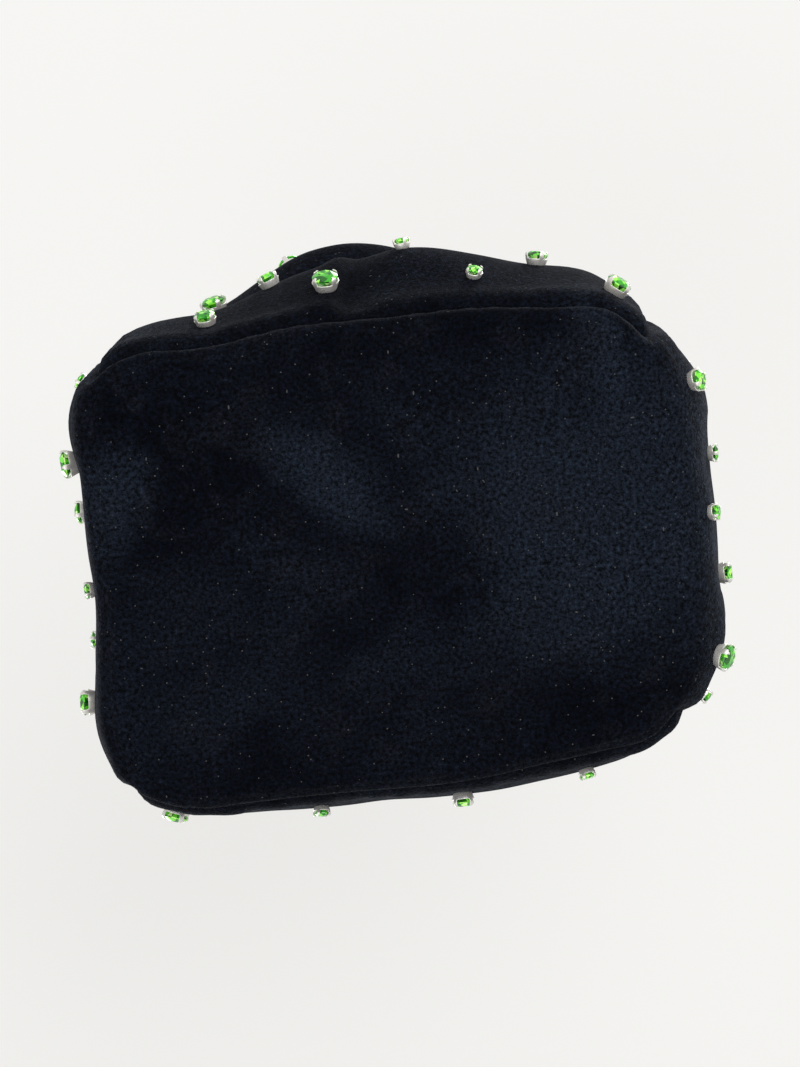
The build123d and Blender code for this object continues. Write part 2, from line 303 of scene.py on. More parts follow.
def painted_light_patches(m, where):
    """Sum of soft spots of painted light, standing in for the sheen where the pile catches the light."""
    wobble = m.add("ShaderNodeTexNoise", {"Vector": where, "Scale": 38.0, "Detail": 3.0}).outputs["Color"]
    shift = m.add("ShaderNodeVectorMath", {0: wobble, 1: (0.5, 0.5, 0.5)}, operation="SUBTRACT").outputs[0]
    shift = m.add("ShaderNodeVectorMath", {0: shift, "Scale": 0.032}, operation="SCALE").outputs[0]
    moved = m.add("ShaderNodeVectorMath", {0: where, 1: shift}, operation="ADD").outputs[0]
    total = 0.0
    for (cx, cy), (half_x, half_y), turn, strength in PAINTED_LIGHT_PATCHES:
        placed = m.add("ShaderNodeMapping", {"Vector": moved, "Location": (cx * MM, cy * MM, 0),
                                             "Rotation": (0, 0, math.radians(turn)),
                                             "Scale": (half_x * MM, half_y * MM, PATCH_REACH * MM)},
                       vector_type="TEXTURE").outputs[0]
        spot = m.add("ShaderNodeTexGradient", {"Vector": placed}, gradient_type="SPHERICAL").outputs["Fac"]
        total = m.math("ADD", m.math("MULTIPLY", spot, strength * 1.6), total)
    return m.math("MINIMUM", total, 1.0)


def velvet_material():
    """Near-black blue pile: random mottling with painted lighter patches and a painted lighter right end for
    the light it catches, a fine nap, and pale lint.
    """
    m = Nodes("velvet_pile")
    where = m.place()
    patches = m.noise(24.0, 4.0, 0.6, where, 0.7)
    streaks = m.noise(70.0, 4.0, 0.65, where, 0.5)
    nap = m.noise(1500.0, 2.0, 0.7, where)
    grain = m.noise(900.0, 3.0, 0.75, where)
    axes = m.add("ShaderNodeSeparateXYZ", {0: where}).outputs
    # painted light: the right end of the pile is painted lighter, as if the light fell on it
    right_painted_light = m.add("ShaderNodeMapRange", {"Value": axes["X"], "From Min": RIGHT_PAINTED_LIGHT_X[0],
                                            "From Max": RIGHT_PAINTED_LIGHT_X[1], "To Min": 0.0,
                                            "To Max": RIGHT_PAINTED_LIGHT}).outputs["Result"]
    # random mottling of the pile, plus painted light: lighter patches and a lighter right end stand in for
    # sheen and for the light falling there
    mottling_and_painted_light = m.ramp(patches, ((0.38, (0, 0, 0)), (0.72, (0.55, 0.55, 0.55))))
    mottling_and_painted_light = m.math("ADD", m.math("ADD", mottling_and_painted_light, painted_light_patches(m, where)), right_painted_light)
    mottling_and_painted_light = m.math("MINIMUM", mottling_and_painted_light, 1.0)
    color = m.mix(mottling_and_painted_light, (0.0006, 0.0010, 0.0030, 1), (0.0058, 0.0084, 0.0142, 1))
    worn = m.ramp(streaks, ((0.50, (0, 0, 0)), (0.80, (0.6, 0.6, 0.6))))
    color = m.mix(worn, color, (0.0068, 0.0074, 0.0110, 1))
    speckle = m.ramp(grain, ((0.38, (0.15, 0.15, 0.15)), (0.60, (1.7, 1.7, 1.7)), (0.74, (3.8, 3.8, 3.8))))
    color = m.mix(1.0, color, speckle, "MULTIPLY")
    for cells, size, spare, squeeze in LINT:
        stretched = m.add("ShaderNodeMapping", {"Vector": where, "Scale": squeeze,
                                                "Rotation": (0.3, 0.2, 0.6)}).outputs[0]
        cell = m.add("ShaderNodeTexVoronoi", {"Vector": stretched, "Scale": cells})
        chance = m.add("ShaderNodeSeparateColor", {0: cell.outputs["Color"]}).outputs[0]
        chosen = m.math("GREATER_THAN", chance, spare)
        near = m.math("LESS_THAN", cell.outputs["Distance"], size)
        speck = m.math("MULTIPLY", m.math("MULTIPLY", chosen, near), LINT_STRENGTH)
        color = m.mix(speck, color, LINT_COLOR)
    sheen = m.add("ShaderNodeMapRange", {"Value": axes["Y"], "From Min": SHEEN_Y[0],
                                         "From Max": SHEEN_Y[1], "To Min": SHEEN_FRONT,
                                         "To Max": SHEEN_ELSEWHERE}).outputs["Result"]
    sheen = m.math("MULTIPLY", sheen, m.math("MULTIPLY", speckle, 0.9))
    m.set(Base_Color=color, Roughness=0.96, Specular_IOR_Level=0.06, Sheen_Weight=sheen,
          Sheen_Roughness=0.42, Sheen_Tint=(0.50, 0.58, 0.74, 1))
    soft = m.bump(grain, 0.45, 0.0006)
    m.set(Normal=m.bump(nap, 0.6, 0.0003, soft))
    return m.material


def lining_material():
    """Black satin twill with fine diagonal ribs."""
    m = Nodes("lining_satin")
    where = m.place()
    turned = m.add("ShaderNodeMapping", {"Vector": where, "Rotation": (0.4, 0.9, 0.785)}).outputs[0]
    ribs = m.add("ShaderNodeTexWave", {"Vector": turned, "Scale": 480.0, "Distortion": 1.2,
                                       "Detail": 2.0}).outputs["Fac"]
    cloud = m.noise(28.0, 3.0, 0.5, where)
    color = m.mix(cloud, (0.010, 0.010, 0.014, 1), (0.030, 0.030, 0.038, 1))
    m.set(Base_Color=color, Roughness=m.math("ADD", m.math("MULTIPLY", cloud, 0.15), 0.32),
          Specular_IOR_Level=0.6, Sheen_Weight=0.15, Normal=m.bump(ribs, 0.3, 0.0002))
    return m.material


def felt_material():
    """Pale fuzzy felt."""
    m = Nodes("interlining_felt")
    fuzz = m.noise(900.0, 4.0, 0.7)
    color = m.mix(m.noise(60.0), (0.62, 0.60, 0.55, 1), (0.80, 0.79, 0.75, 1))
    m.set(Base_Color=color, Roughness=0.95, Normal=m.bump(fuzz, 0.6, 0.0004))
    return m.material


def board_material():
    """Grey-brown board with visible fibres."""
    m = Nodes("grey_board")
    fibres = m.noise(700.0, 4.0, 0.7)
    color = m.mix(m.noise(180.0, 4.0), (0.30, 0.25, 0.19, 1), (0.46, 0.40, 0.32, 1))
    m.set(Base_Color=color, Roughness=0.88, Normal=m.bump(fibres, 0.4, 0.0002))
    return m.material


def paper_material():
    """Brown paper twisted into a cord."""
    m = Nodes("twisted_paper")
    twist = m.add("ShaderNodeTexWave", {"Vector": m.place(), "Scale": 420.0, "Distortion": 2.0},
                  bands_direction="DIAGONAL").outputs["Fac"]
    color = m.mix(twist, (0.36, 0.28, 0.17, 1), (0.58, 0.49, 0.34, 1))
    m.set(Base_Color=color, Roughness=0.8, Normal=m.bump(twist, 0.6, 0.0003))
    return m.material


def metal_material(name, bright, dull, warm, smoothest, roughest, metallic):
    """Polished plate with cloudy wear, hairline scratches and a slightly darker tone in patches."""
    m = Nodes(name)
    where = m.place()
    stretched = m.add("ShaderNodeMapping", {"Vector": where, "Scale": (1.0, 9.0, 6.0)}).outputs[0]
    scratches = m.noise(900.0, 4.0, 0.7, stretched)
    cloud = m.noise(130.0, 4.0, 0.6, where)
    color = m.mix(cloud, bright, warm)
    color = m.mix(m.ramp(scratches, ((0.30, (1, 1, 1)), (0.42, (0, 0, 0)))), color, dull)
    rough = m.ramp(cloud, ((0.35, (smoothest,) * 3), (0.75, (roughest,) * 3)))
    m.set(Base_Color=color, Metallic=metallic, Roughness=rough, Normal=m.bump(scratches, 0.06, 0.0001))
    return m.material


def crystal_material():
    """Foil-backed green crystal drawn opaque: each facet is painted its own green, from deep to nearly
    white, as painted reflections and glints, and the stone glows a little as painted light.
    """
    m = Nodes("crystal_green")
    # a random brightness per facet, painted in as reflections and glints
    tone = m.add("ShaderNodeAttribute", attribute_name="facet_painted_glint").outputs["Fac"]
    clouds = m.noise(900.0, 2.0)
    fac = m.math("ADD", m.math("MULTIPLY", tone, 0.86), m.math("MULTIPLY", clouds, 0.14))
    color = m.ramp(fac, ((0.06, (0.001, 0.030, 0.001)), (0.30, (0.008, 0.170, 0.004)),
                         (0.52, (0.040, 0.440, 0.010)), (0.74, (0.170, 0.800, 0.030)),
                         (0.88, (0.45, 1.0, 0.12)), (0.97, (0.90, 1.0, 0.62))))
    # the emission is a painted glow: the stones shine their facet colours though they are no lamp
    m.set(Base_Color=color, Metallic=0.30, Roughness=0.05, IOR=1.75, Specular_IOR_Level=0.6, Coat_Weight=0.3,
          Coat_Roughness=0.02, Emission_Color=color, Emission_Strength=0.22)
    return m.material


VELVET = velvet_material()
LINING = lining_material()
FELT = felt_material()
BOARD = board_material()
PAPER = paper_material()
FRAME_METAL = metal_material("frame_nickel", (0.80, 0.78, 0.74, 1), (0.46, 0.44, 0.41, 1),
                             (0.70, 0.66, 0.60, 1), 0.11, 0.27, 1.0)
CLAW_METAL = metal_material("claw_silver", (0.93, 0.92, 0.90, 1), (0.52, 0.50, 0.46, 1),
                            (0.82, 0.77, 0.68, 1), 0.26, 0.42, 0.6)
CRYSTAL = crystal_material()


# ------------------------------------------------------------------ the skin's grid

def section(height):
    """Length, depth and corner radius of the outline at a height, on a smooth curve."""
    heights = np.array([row[0] for row in BODY_SECTIONS])
    values = np.array([row[1:] for row in BODY_SECTIONS])
    slopes = np.gradient(values, heights, axis=0)
    k = int(np.clip(np.searchsorted(heights, height) - 1, 0, len(heights) - 2))
    span = heights[k + 1] - heights[k]
    t = (height - heights[k]) / span
    start = (1 + 2 * t) * (1 - t) ** 2 * values[k] + t * (1 - t) ** 2 * span * slopes[k]
    end = t * t * (3 - 2 * t) * values[k + 1] + t * t * (t - 1) * span * slopes[k + 1]
    return start + end


def outline(length, depth, radius):
    """Points round a rounded rectangle, from the middle of the front, counter-clockwise from above."""
    half_x = length / 2 - radius
    half_y = depth / 2 - radius
    points = []
    for i in range(LONG_COLUMNS // 2):
        points.append((half_x * i / (LONG_COLUMNS / 2), -depth / 2))
    corners = ((half_x, -half_y, -90, END_COLUMNS), (half_x, half_y, 0, LONG_COLUMNS),
               (-half_x, half_y, 90, END_COLUMNS), (-half_x, -half_y, 180, LONG_COLUMNS // 2))
    ends = ((half_x + radius, half_y), (-half_x, half_y + radius),
            (-half_x - radius, -half_y), (0.0, -half_y - radius))
    for (cx, cy, turn, count), (ex, ey) in zip(corners, ends):
        for i in range(CORNER_COLUMNS):
            angle = math.radians(turn + 90 * i / CORNER_COLUMNS)
            points.append((cx + radius * math.cos(angle), cy + radius * math.sin(angle)))
        angle = math.radians(turn + 90)
        sx, sy = cx + radius * math.cos(angle), cy + radius * math.sin(angle)
        for i in range(count):
            points.append((sx + (ex - sx) * i / count, sy + (ey - sy) * i / count))
    return np.array(points)


def mouth_half_length(height):
    """Half the length of the flat edge at a height, following the frame's round corners."""
    over = height - (MOUTH_TOP - FRAME_CORNER)
    if over <= 0:
        return MOUTH_LENGTH / 2
    return MOUTH_LENGTH / 2 - FRAME_CORNER + math.sqrt(max(FRAME_CORNER ** 2 - over ** 2, 0.0))


def skin_grid():
    """Rows of points over the whole skin: base from its centre out, walls, then the flat mouth."""
    rows = []
    kinds = []
    base = outline(*section(0.0))
    for i in range(BASE_ROWS):
        share = (i / BASE_ROWS) ** 0.8
        rows.append([(x * share, y * share, 0.0) for x, y in base])
        kinds.append(("base", share))
    heights = [0.0, 1.2, 3.0]
    while heights[-1] < MOUTH_BOTTOM - WALL_STEP:
        heights.append(heights[-1] + (3.0 if heights[-1] < 9 else WALL_STEP))
    heights[-1] = MOUTH_BOTTOM
    for height in heights:
        rows.append([(x, y, height) for x, y in outline(*section(height))])
        kinds.append(("wall", height))
    for i in range(1, MOUTH_ROWS + 1):
        height = MOUTH_BOTTOM + (MOUTH_TOP - MOUTH_BOTTOM) * i / MOUTH_ROWS
        half = mouth_half_length(height)
        ring = outline(MOUTH_LENGTH, MOUTH_DEPTH, 5.0)
        rows.append([(x * half / (MOUTH_LENGTH / 2), y, height) for x, y in ring])
        kinds.append(("mouth", height))
    return np.array(rows) * MM, kinds


def slouch(points):
    """The bag's own swellings: bowed long edges, rolled ends, and a front wall with a second bulge."""
    out = points.copy()
    x, y, z = points[..., 0] / MM, points[..., 1] / MM, points[..., 2] / MM
    low = 1 - smooth(z, *LOW_ENDS)
    soft = 1 - smooth(z, *SOFT_ENDS)
    front = smooth(-y, *WALL_BEGINS)
    back = smooth(y, *WALL_BEGINS)
    dx = np.zeros_like(x)
    dy = np.zeros_like(x)
    # front wall
    bow = BOW_MIDDLE * bump(x, *BOW_MIDDLE_X) + BOW_LEFT * smooth(-x, *BOW_LEFT_X)
    bow = bow + BOW_RIGHT * smooth(x, *BOW_RIGHT_X)
    belly = BELLY * bump(z, *BELLY_Z) * bump(x, *BELLY_X)
    crease = CREASE * bump(z, *CREASE_Z) * bump(x, *CREASE_X)
    upper = UPPER * bump(z, *UPPER_Z) * bump(x, *UPPER_X)
    slack = SLACK_RIGHT * bump(x, *SLACK_RIGHT_X) + SLACK_LEFT * bump(x, *SLACK_LEFT_X)
    dy += front * (low * bow + belly + crease + upper + slack * bump(z, *SLACK_Z))
    # back wall: fullest low down, drawn in above
    fuller = BACK_FULL - BACK_FULL_RIGHT * smooth(x, *BACK_FULL_RIGHT_X)
    turned = smooth(z, *BACK_TURN_Z)
    dy += back * soft * (fuller * (1 - turned) - BACK_DRAWN_IN * turned)
    # ends: the right one rolls up from the base in a wide curve, the left one stands steeper
    right = smooth(x, *END_BEGINS)
    left = smooth(-x, *END_BEGINS)
    above = soft * smooth(z, *ROW_ABOVE)
    roll = RIGHT_ROLL * np.exp(-z / RIGHT_ROLL_HEIGHT)
    dx += right * (roll - RIGHT_IN * soft - RIGHT_ABOVE_IN * above)
    swell = LEFT_OUT * bump(z, *LEFT_OUT_Z) * bump(y, *LEFT_OUT_Y)
    dx += left * (swell - LEFT_BACK_OUT * low * smooth(y, *LEFT_BACK_Y) + LEFT_ABOVE_IN * above)
    # the left corners stand out square from the base
    left_corner = smooth(-x, *LEFT_CORNER_X) * low
    in_front = smooth(-y, *LEFT_CORNER_Y)
    behind = smooth(y, *LEFT_CORNER_Y)
    dx -= left_corner * (FRONT_CORNER_OUT[0] * in_front + BACK_CORNER_OUT[0] * behind)
    dy -= left_corner * (FRONT_CORNER_OUT[1] * in_front - BACK_CORNER_OUT[1] * behind)
    # the corner seams draw the wall in
    corner = smooth(np.abs(x), *CORNER_BEGINS_X) * smooth(np.abs(y), *CORNER_BEGINS_Y)
    drawn = smooth(z, *CORNER_DRAWN_FROM) * (1 - smooth(z, *CORNER_DRAWN_TO))
    dx -= np.sign(x) * CORNER_DRAWN * corner * drawn
    dy -= np.sign(y) * CORNER_DRAWN * corner * drawn
    out[..., 0] += dx * MM
    out[..., 1] += dy * MM
    gathers = smooth(z, *GATHER_FROM) * (1 - smooth(z, *GATHER_TO))
    folds = np.sin(x / GATHER_SPACING + 1.4 * np.sin(x / GATHER_DRIFT))
    out[..., 2] += gathers * folds * GATHER_HEIGHT * MM * (1 - smooth(np.abs(x), *GATHER_ENDS_X))
    return out


def run_cloth(points):
    """Lets the skin settle as cloth: a little spare length, a little air inside, base and mouth held.
    Only the folds it makes are kept, since slouch already gives the overall shape."""
    rows, columns = points.shape[:2]
    flat = points.reshape(-1, 3)
    faces = [(r * columns + c, r * columns + (c + 1) % columns,
              (r + 1) * columns + (c + 1) % columns, (r + 1) * columns + c)
             for r in range(1, rows - 1) for c in range(columns)]
    mesh = bpy.data.meshes.new("cloth_trial")
    mesh.from_pydata([tuple(p) for p in flat], [], faces)
    trial = new_object("cloth_trial", mesh)
    held = trial.vertex_groups.new(name="held")
    z = flat[:, 2]
    reach = np.max(np.abs(flat[:, :2]) / CLOTH_HELD_BASE, axis=1)
    for i in range(len(flat)):
        if z[i] > CLOTH_HELD_ABOVE or (z[i] < 0.5 * MM and reach[i] < 1.0):
            held.add([i], 1.0, "REPLACE")
    cloth = trial.modifiers.new("Cloth", "CLOTH")
    settings = cloth.settings
    settings.quality = 6
    settings.mass = 0.25
    settings.tension_stiffness = 18
    settings.compression_stiffness = 18
    settings.shear_stiffness = 6
    settings.bending_stiffness = 2.5
    settings.shrink_min = -CLOTH_SPARE_LENGTH
    settings.use_pressure = True
    settings.uniform_pressure_force = CLOTH_PRESSURE
    settings.vertex_group_mass = "held"
    settings.effector_weights.gravity = 0.35
    cloth.collision_settings.use_collision = False
    scene = bpy.context.scene
    for step in range(1, CLOTH_FRAMES + 1):
        scene.frame_set(step)
    settled = trial.evaluated_get(bpy.context.evaluated_depsgraph_get()).to_mesh()
    after = np.array([v.co for v in settled.vertices])
    move = after - flat
    size = np.linalg.norm(move, axis=1, keepdims=True)
    move *= np.minimum(1.0, CLOTH_CAP / np.maximum(size, 1e-9))
    scene.frame_set(1)
    bpy.data.objects.remove(trial)
    move = move.reshape(points.shape)
    folds = FOLD_SHARE * (eased(move, FOLD_EASING) - eased(move, SAG_EASING))
    height = points[..., 2]
    free = smooth(height, *CLOTH_BEGINS) * (1 - smooth(height, *CLOTH_ENDS))
    return points + folds * free[..., None]


def eased(move, times):
    """The move evened out over its neighbours."""
    for _ in range(times):
        below = np.concatenate([move[:1], move[:-1]])
        above = np.concatenate([move[1:], move[-1:]])
        beside = np.roll(move, 1, axis=1) + np.roll(move, -1, axis=1)
        move = 0.4 * move + 0.15 * (below + above + beside)
    return move


def finer_line(values, factor, wrap):
    """Values along the first axis, refined by a smooth curve through them."""
    count = len(values)
    total = count * factor if wrap else (count - 1) * factor + 1
    where = np.arange(total) / factor
    k = np.floor(where).astype(int)
    t = (where - k).reshape(-1, *([1] * (values.ndim - 1)))

    def at(index):
        return values[index % count] if wrap else values[np.clip(index, 0, count - 1)]

    a, b, c, d = at(k - 1), at(k), at(k + 1), at(k + 2)
    return b + 0.5 * t * (c - a + t * (2 * a - 5 * b + 4 * c - d + t * (3 * (b - c) + d - a)))


def normals_of(points):
    """Outward normals of the grid."""
    around = np.roll(points, -1, axis=1) - np.roll(points, 1, axis=1)
    up = np.gradient(points, axis=0)
    out = np.cross(around, up)
    size = np.linalg.norm(out, axis=2, keepdims=True)
    out = out / np.maximum(size, 1e-12)
    out[0] = (0, 0, -1)
    return out


start_grid, row_kinds = skin_grid()
grid = slouch(start_grid)
grid = run_cloth(grid)
grid = finer_line(grid, FINER, False)
grid = finer_line(grid.transpose(1, 0, 2), FINER, True).transpose(1, 0, 2)
ROWS, ALL_COLUMNS = grid.shape[:2]

# rows and columns of the fine grid where the panels meet
wall_heights = [(i, value) for i, (kind, value) in enumerate(row_kinds) if kind == "wall"]
seam_row = FINER * min(i for i, value in wall_heights if value >= SEAM_HEIGHT)
top_of_ends = FINER * max(i for i, value in wall_heights if value <= ENDS_STOP)
half_front = LONG_COLUMNS // 2
front_right = FINER * (half_front + CORNER_COLUMNS // 2)
back_right = FINER * (half_front + CORNER_COLUMNS + END_COLUMNS + CORNER_COLUMNS // 2)
back_left = ALL_COLUMNS - back_right
front_left = ALL_COLUMNS - front_right


def seam_lines(points):
    """The seams as runs of points: along both long edges of the base, then up each corner."""
    lines = []
    lines.append([points[seam_row, c % ALL_COLUMNS] for c in range(-front_right, front_right + 1)])
    lines.append([points[seam_row, c] for c in range(back_right, back_left + 1)])
    for column in (front_right, back_right, back_left, front_left):
        lines.append([points[r, column % ALL_COLUMNS] for r in range(seam_row, ROWS)])
    return lines


def work_details(points):
    """Seam grooves with puckers, the pleat beside the base seam, and small unevenness of the cloth."""
    outward = normals_of(points).reshape(-1, 3)
    flat = points.reshape(-1, 3)
    seam_points = [p for line in seam_lines(points) for p in line]
    tree = KDTree(len(seam_points))
    for i, p in enumerate(seam_points):
        tree.insert(p, i)
    tree.balance()
    shift = np.zeros(len(flat))
    for i, p in enumerate(flat):
        z = p[2]
        _, index, gap = tree.find(p)
        if gap < SEAM_REACH and z < SEAM_TOP:
            pucker = 0.5 + 0.5 * math.sin(index * 0.9 + 2.2 * math.sin(index * 0.17))
            shift[i] -= SEAM_DEPTH * math.exp(-((gap / SEAM_WIDTH) ** 2))
            roll = math.exp(-(((gap - ROLL_FROM_SEAM) / ROLL_WIDTH) ** 2))
            puffed = 1 - smooth(z, *PUCKERS_FADE)
            shift[i] += puffed * ROLL_HEIGHT * roll * (0.5 + 0.5 * pucker)
            shift[i] -= puffed * PUCKER_DEPTH * pucker * math.exp(-((gap / PUCKER_WIDTH) ** 2))
        place = Vector(p)
        wide = noise.noise(place * WIDE_WAVES + Vector((3.1, 7.7, 1.9)))
        fine = noise.noise(place * FINE_WAVES + Vector((9.1, 2.7, 5.9)))
        amount = WALL_UNEVEN if z > 1.0 * MM else BASE_UNEVEN
        shift[i] += (1 - smooth(z, *UNEVEN_FADE)) * (amount * wide + FINE_UNEVEN * fine) * MM
    x, y, z = flat[:, 0], flat[:, 1], flat[:, 2]
    front = smooth(-y, *PLEAT_WALL)
    lean = x + PLEAT_X - PLEAT_LEAN * (z - PLEAT_Z)
    pleat = bump(lean, 0, np.where(lean < 0, PLEAT_STEEP_SIDE, PLEAT_EASY_SIDE))
    pleat_run = smooth(z, *PLEAT_FROM) * (1 - smooth(z, *PLEAT_TO))
    shift -= front * pleat * pleat_run * PLEAT_DEPTH
    shift += front * bump(lean, *LIP_PLACE) * pleat_run * PLEAT_LIP
    dimple = bump(x, *DIMPLE_X) * bump(y, *DIMPLE_Y) * (z < DIMPLE_TOP)
    shift -= dimple * DIMPLE_DEPTH
    moved = flat + outward * shift[:, None]
    moved[:, 2] = np.maximum(moved[:, 2], 0.0)
    return moved.reshape(points.shape)


out_way = normals_of(grid)
grid = work_details(grid)


# ------------------------------------------------------------------ panels cut from the grid

def column_run(first, last):
    """Columns of the grid from first to last, round the seam of its numbering."""
    return [c % ALL_COLUMNS for c in range(first, last + 1)]


def cut_panel(name, blocks, layer, lifted=0.0):
    """A closed sheet over blocks of the grid: layer says how deep it starts and how thick it is.
    lifted raises the part over the base board."""
    depth, thickness = layer
    used = {}
    cells = []

    def corner(r, c):
        return used.setdefault((r, c), len(used))

    for rows, columns in blocks:
        for r in rows:
            for c, after in zip(columns, columns[1:]):
                cells.append((corner(r, c), corner(r, after), corner(r + 1, after), corner(r + 1, c)))
    keys = list(used)
    skin = np.array([grid[r, c] for r, c in keys])
    way = np.array([out_way[r, c] for r, c in keys])
    inward = np.full(len(keys), depth)
    if lifted:
        flat_part = 1 - smooth(skin[:, 2], 1.0 * MM, 9.0 * MM)
        inward += lifted * flat_part
    outer = skin - way * inward[:, None]
    inner = skin - way * (inward + thickness)[:, None]
    count = len(keys)
    edges = {}
    for cell in cells:
        for a, b in zip(cell, cell[1:] + cell[:1]):
            if (b, a) in edges:
                del edges[(b, a)]
            else:
                edges[(a, b)] = True
    faces = list(cells)
    faces += [tuple(i + count for i in reversed(cell)) for cell in cells]
    faces += [(b, a, a + count, b + count) for a, b in edges]
    return mesh_object(name, np.vstack([outer, inner]), faces)


def strip_blocks(end_row):
    """The base and both ends, up to a row."""
    return [
        (range(0, seam_row), column_run(0, ALL_COLUMNS)),
        (range(seam_row, end_row), column_run(front_right, back_right)),
        (range(seam_row, end_row), column_run(back_left, front_left)),
    ]


front_columns = column_run(-front_right, front_right)
back_columns = column_run(back_right, back_left)

# the interlining stops short of the fold, the other two layers run up into the frame, and on the ends the
# inner layers stop below the velvet's edge
felt_top = top_of_ends - 3 * FINER
felt_end = top_of_ends - 5 * FINER
# name, depth and thickness, lift over the board, material, slot, last row of the walls, last row of the ends
LAYERS = (
    ("velvet", VELVET_LAYER, 0.0, VELVET, "velvet", ROWS - 1, top_of_ends),
    ("interlining", INTERLINING_LAYER, 0.0, FELT, "interlining", felt_top, felt_end),
    ("lining", LINING_LAYER, BOARD_ROOM, LINING, "lining", ROWS - 1, top_of_ends - 2 * FINER),
)
skins = []
for layer_name, layer, lifted, material, slot, last_row, end_row in LAYERS:
    wall_rows = range(seam_row, last_row)
    strip = cut_panel(f"{layer_name}_base_and_ends", strip_blocks(end_row), layer, lifted)
    front = cut_panel(f"{layer_name}_front", [(wall_rows, front_columns)], layer, lifted)
    back = cut_panel(f"{layer_name}_back", [(wall_rows, back_columns)], layer, lifted)
    for piece in (strip, front, back):
        piece.data.materials.append(material)
    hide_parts(f"base_and_ends_{layer_name}")
    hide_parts(f"back_{layer_name}")
    if layer_name == "interlining":
        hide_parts("front_interlining")
        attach(front, "bag")
    else:
        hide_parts(f"front_{layer_name}", f"front_{layer_name}_fold", f"front_mouth_{layer_name}")
        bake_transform(front)
    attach(strip, "bag")
    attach(back, "bag")
    if layer_name == "velvet":
        skins = [strip, front, back]


# ------------------------------------------------------------------ crystals and settings

# stone radius by size (mm)
SIZES = {"large": 3.7, "medium": 3.05, "small": 2.2}
# the cut, as shares of the radius
PAVILION = 0.78
CROWN = 0.34
TABLE = 0.56
GIRDLE = 0.05
# the setting: metal thickness, gap round the stone and foot under it (mm); foot's width against the stone's
CLAW_THICK = 0.38
CUP_PLAY = 0.06
CUP_BASE = 0.45
CUP_FOOT = 0.74
# steps round the cup; its lowest levels are closed, and above them only the claws are left
# (the claw's half-angle is in radians)
CUP_STEPS = 64
BOWL_LEVELS = 3
CLAWS = 4
STRAP_HALF_ANGLE = 0.17
# how unevenly the stones stand, and how far over the velvet
STONE_TILT = 0.07
STONE_LIFT = 0.05 * MM
WALL_OUTWARD = {
    "front": Vector((0, -1, 0)),
    "back": Vector((0, 1, 0)),
    "left": Vector((-1, 0, 0)),
    "right": Vector((1, 0, 0)),
}
OUTSIDE = 60 * MM


def girdle_height(radius):
    """Height of a stone's edge over the velvet (mm)."""
    return CUP_BASE + PAVILION * radius


def brilliant(radius):
    """Points and faces of a round brilliant: table, stars, kites, girdle, and a faceted back."""
    base_z = girdle_height(radius)
    points = []

    def ring(count, r, z, turn):
        first = len(points)
        for i in range(count):
            angle = 2 * math.pi * (i + turn) / count
            points.append((r * radius * math.cos(angle), r * radius * math.sin(angle), base_z + z * radius))
        return [first + i for i in range(count)]

    table = ring(8, TABLE, CROWN, 0.0)
    middle = ring(8, 0.79, CROWN * 0.62, 0.5)
    rim = ring(16, 1.0, GIRDLE, 0.0)
    under = ring(16, 1.0, -GIRDLE, 0.0)
    lower = ring(8, 0.42, -GIRDLE - PAVILION * 0.62, 0.5)
    points.append((0, 0, base_z - PAVILION * radius))
    tip = len(points) - 1
    points.append((0, 0, base_z + CROWN * radius))
    middle_of_table = len(points) - 1
    star = ring(8, 0.27, CROWN, 0.5)
    top_faces = []
    back_faces = []
    for i in range(8):
        j = (i + 1) % 8
        top_faces.append((middle_of_table, star[i], table[j], star[j]))
        top_faces.append((star[i], table[i], table[j]))
        left, mid, right = rim[2 * i], rim[(2 * i + 1) % 16], rim[(2 * i + 2) % 16]
        top_faces.append((table[i], middle[i], table[j]))
        top_faces.append((middle[i], left, mid))
        top_faces.append((middle[i], mid, right))
        top_faces.append((table[j], middle[i], right, middle[j]))
        u_left, u_mid, u_right = under[2 * i], under[(2 * i + 1) % 16], under[(2 * i + 2) % 16]
        top_faces.append((left, u_left, u_mid, mid))
        top_faces.append((mid, u_mid, u_right, right))
        back_faces.append((lower[i], u_mid, u_left))
        back_faces.append((lower[i], u_right, u_mid))
        back_faces.append((lower[i], tip, lower[j], u_right))
    return points, top_faces, back_faces


def claw_cup(radius):
    """Points and faces of a four-claw cup: a low bowl and four straps bent over the stone's edge."""
    top = girdle_height(radius)
    foot = CUP_FOOT * radius
    wall = radius + CUP_PLAY
    profile = [
        (0.30 * foot, 0.0),
        (foot, 0.0),
        (foot + 0.14, 0.35),
        (foot + 0.80 * (wall - foot), 0.66 * top),
        (wall, 0.88 * top),
        (wall + 0.02, top + 0.18),
        (wall - 0.14, top + 0.26 + 0.06 * radius),
        (0.85 * radius, top + 0.10 + 0.19 * radius),
    ]
    strap_shares = (1.0, 1.0, 1.0, 1.0, 1.0, 0.92, 0.75)
    points = []
    faces = []
    used = {}

    def corner(level, step):
        key = (level, step % CUP_STEPS)
        if key not in used:
            r, z = profile[level]
            angle = 2 * math.pi * step / CUP_STEPS
            used[key] = len(points)
            points.append((r * math.cos(angle), r * math.sin(angle), z))
        return used[key]

    for level, share in enumerate(strap_shares):
        for step in range(CUP_STEPS):
            centre = (step + 0.5) / CUP_STEPS * CLAWS
            off = abs(centre - round(centre)) * 2 * math.pi / CLAWS
            if level < BOWL_LEVELS or off < STRAP_HALF_ANGLE * share * 1.15:
                faces.append((corner(level, step), corner(level, step + 1),
                              corner(level + 1, step + 1), corner(level + 1, step)))
    return points, faces


